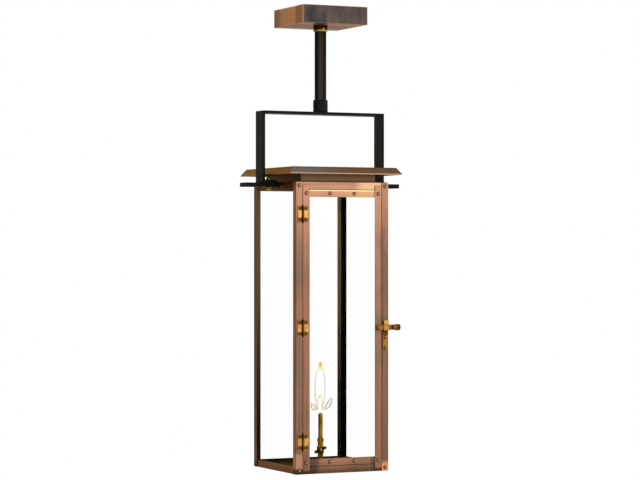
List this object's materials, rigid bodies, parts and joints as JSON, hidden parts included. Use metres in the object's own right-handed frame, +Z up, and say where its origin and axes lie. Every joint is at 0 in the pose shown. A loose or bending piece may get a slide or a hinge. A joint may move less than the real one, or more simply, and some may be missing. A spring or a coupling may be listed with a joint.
{
  "type": "hanging gas yoke lantern",
  "caption": "Square copper gas lantern with a hinged glass door and wing-key burner, hung from a ceiling canopy on a pipe stem and a black flat-bar yoke.",
  "frame": {"origin": "centre of the ceiling plane, between the two screw holes of the mounting strap", "axes": "+Z up out of the ceiling plane, +X along the yoke to the right of the door, -Y out of the door"},
  "size_m": [0.3828, 0.275, 1.044],
  "materials": {
    "aged_copper": "satin copper with a brown patina",
    "black_iron": "satin black",
    "brass": "polished, slightly tarnished",
    "burner_brass": "dull olive brass",
    "bronze_screws": "darkened round heads",
    "plated_steel": "zinc plated",
    "glass": "clear"
  },
  "bodies": {
    "lantern": {"bottom_rail_back": "aged_copper", "bottom_rail_front": "aged_copper", "bottom_rail_left": "aged_copper", "bottom_rail_right": "aged_copper", "burner_tube": "burner_brass", "canopy": "aged_copper", "canopy_collar": "brass", "collar_screw": "brass", "crossbar": "black_iron", "deck": "aged_copper", "deck_screws": "bronze_screws", "floor_pan": "aged_copper", "glass_back": "glass", "glass_clips": "aged_copper", "glass_left": "glass", "glass_right": "glass", "hinge_pins": "brass", "hinge_post_leaf_bottom": "brass", "hinge_post_leaf_middle": "brass", "hinge_post_leaf_top": "brass", "hinge_post_screws": "brass", "keeper_screws": "brass", "latch_keeper": "brass", "mounting_strap": "plated_steel", "neck": "aged_copper", "post_back_left": "aged_copper", "post_back_right": "aged_copper", "post_front_left": "aged_copper", "post_front_right": "aged_copper", "post_screws": "bronze_screws", "rail_screws": "bronze_screws", "roof": "aged_copper", "stem_coupling": "black_iron", "stem_pipe": "black_iron", "strap_locknut": "plated_steel", "top_rail_back": "aged_copper", "top_rail_front": "aged_copper", "top_rail_left": "aged_copper", "top_rail_right": "aged_copper", "valve_body": "burner_brass", "valve_nut": "burner_brass", "yoke": "black_iron", "yoke_bolts": "brass", "yoke_nuts": "brass"},
    "door": {"door_stile_left": "aged_copper", "door_stile_right": "aged_copper", "door_rail_top": "aged_copper", "door_rail_bottom": "aged_copper", "door_glass": "glass", "door_screws": "bronze_screws", "door_glass_clips": "aged_copper", "hinge_door_leaf_top": "brass", "hinge_door_leaf_middle": "brass", "hinge_door_leaf_bottom": "brass", "hinge_door_screws": "brass", "latch_screw": "brass"},
    "latch": {"latch_arm": "brass"},
    "tap": {"valve_key": "burner_brass", "valve_screw": "burner_brass"}
  },
  "joints": [
    {"name": "door_swing", "type": "hinge", "parent": "lantern", "child": "door", "pos_m": [-0.0977, -0.117, -0.7205], "axis": [0, 0, -1], "range_deg": [0, 150]},
    {"name": "latch_lift", "type": "hinge", "parent": "door", "child": "latch", "pos_m": [0.0885, -0.1177, -0.7215], "axis": [0, -1, 0], "range_deg": [0, 90]},
    {"name": "valve_turn", "type": "hinge", "parent": "lantern", "child": "tap", "pos_m": [0, 0, -1.001], "axis": [-0.4321, -0.9018, 0], "range_deg": [-24.7, 65.3]}
  ]
}
